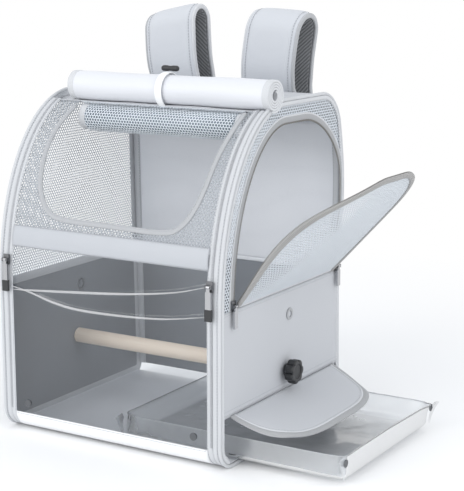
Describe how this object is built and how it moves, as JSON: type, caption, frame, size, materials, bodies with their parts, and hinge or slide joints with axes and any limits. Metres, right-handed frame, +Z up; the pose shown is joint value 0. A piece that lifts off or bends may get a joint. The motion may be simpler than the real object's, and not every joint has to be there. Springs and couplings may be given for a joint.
{
  "type": "bird travel carrier",
  "caption": "Arched soft backpack carrier for a bird, with clear front, mesh walls, side door, pull-out tray, perch and rolled covers.",
  "frame": {"origin": "on the resting face, midway between the side walls, above the floor panel's middle", "axes": "+Z up, -Y out of the clear front, +X out of the side with the door and tray"},
  "size_m": [0.4635, 0.3283, 0.506],
  "materials": {
    "shell_cloth": "matte woven",
    "floor_board": "matte",
    "floor_liner": "satin",
    "clear_sheet": "clear",
    "white_trim": "satin",
    "pale_band": "satin",
    "mesh": "open mesh",
    "binding": "satin",
    "piping": "satin",
    "zip_tape": "matte",
    "cover_cloth": "satin",
    "black_plastic": "matte",
    "rubber_grip": "matte",
    "metal": "satin",
    "zip_metal": "satin gunmetal",
    "perch_wood": "sanded",
    "strap_cloth": "matte woven",
    "strap_lining": "open corded mesh",
    "webbing": "woven"
  },
  "bodies": {
    "shell": {"bottom_skin": "shell_cloth", "base_board": "floor_board", "floor_liner": "floor_liner", "shell_rivets": "metal", "front_sill": "white_trim", "front_window": "clear_sheet", "front_band": "pale_band", "front_mesh": "mesh", "window_binding": "binding", "mesh_roll": "mesh", "cover_roll": "cover_cloth", "roll_loop": "cover_cloth", "roll_toggle": "black_plastic", "roof_panel": "shell_cloth", "back_panel": "shell_cloth", "back_left_binding": "binding", "back_right_binding": "binding", "left_lower_wall": "shell_cloth", "left_mesh": "mesh", "left_wall_rail": "binding", "right_lower_wall": "shell_cloth", "right_mesh": "mesh", "left_cord": "piping", "right_cord": "piping", "left_binding": "binding", "right_binding": "binding", "left_front_zip": "zip_tape", "right_front_zip": "zip_tape", "door_opening_zip": "zip_tape", "eyelets": "metal", "perch": "perch_wood", "door_front_slider": "zip_metal", "door_rear_slider": "zip_metal", "left_strap_pad": "strap_cloth", "left_strap_lining": "strap_lining", "right_strap_pad": "strap_cloth", "right_strap_lining": "strap_lining", "strap_buckles": "black_plastic", "strap_webs": "webbing"},
    "side_door": {"side_door_mesh": "mesh", "side_door_binding": "binding"},
    "flap": {"tray_flap": "shell_cloth", "tray_flap_zip": "zip_tape"},
    "tray": {"tray_sheet": "clear_sheet", "tray_rivets": "metal"},
    "right_knob": {"right_knob": "black_plastic", "right_stud": "metal"},
    "left_knob": {"left_knob": "black_plastic", "left_stud": "metal"},
    "front_left_slider": {"front_left_slider": "zip_metal"},
    "front_right_slider": {"front_right_slider": "zip_metal"},
    "front_left_pull": {"front_left_pull": "zip_metal", "front_left_grip": "rubber_grip"},
    "front_right_pull": {"front_right_pull": "zip_metal", "front_right_grip": "rubber_grip"},
    "door_front_pull": {"door_front_pull": "zip_metal"},
    "door_rear_pull": {"door_rear_pull": "zip_metal"}
  },
  "joints": [
    {"name": "side_door_fold", "type": "hinge", "parent": "shell", "child": "side_door", "pos_m": [0.1552, 0, 0.181], "axis": [0, 1, 0], "range_deg": [-43, 85]},
    {"name": "flap_fold", "type": "hinge", "parent": "shell", "child": "flap", "pos_m": [0.1552, 0, 0.061], "axis": [0, -1, 0], "range_deg": [0, 36]},
    {"name": "tray_pull", "type": "slide", "parent": "shell", "child": "tray", "axis": [1, 0, 0], "range_m": [-0.14, 0.12]},
    {"name": "right_knob_turn", "type": "hinge", "parent": "shell", "child": "right_knob", "pos_m": [0.156, 0.0015, 0.0845], "axis": [1, 0, 0], "continuous": true},
    {"name": "left_knob_turn", "type": "hinge", "parent": "shell", "child": "left_knob", "pos_m": [-0.156, 0.0015, 0.0845], "axis": [-1, 0, 0], "continuous": true},
    {"name": "front_left_zip_travel", "type": "slide", "parent": "shell", "child": "front_left_slider", "axis": [0, 0, 1], "range_m": [-0.13, 0]},
    {"name": "front_right_zip_travel", "type": "slide", "parent": "shell", "child": "front_right_slider", "axis": [0, 0, 1], "range_m": [-0.13, 0]},
    {"name": "front_left_pull_swing", "type": "hinge", "parent": "front_left_slider", "child": "front_left_pull", "pos_m": [-0.1421, -0.14899, 0.212], "axis": [-1, 0, 0], "range_deg": [0, 150]},
    {"name": "front_right_pull_swing", "type": "hinge", "parent": "front_right_slider", "child": "front_right_pull", "pos_m": [0.1421, -0.14899, 0.212], "axis": [-1, 0, 0], "range_deg": [0, 150]},
    {"name": "door_front_pull_swing", "type": "hinge", "parent": "shell", "child": "door_front_pull", "pos_m": [0.1595, -0.12, 0.187], "axis": [0, -1, 0], "range_deg": [0, 150]},
    {"name": "door_rear_pull_swing", "type": "hinge", "parent": "shell", "child": "door_rear_pull", "pos_m": [0.1595, 0.127, 0.187], "axis": [0, -1, 0], "range_deg": [0, 150]}
  ]
}
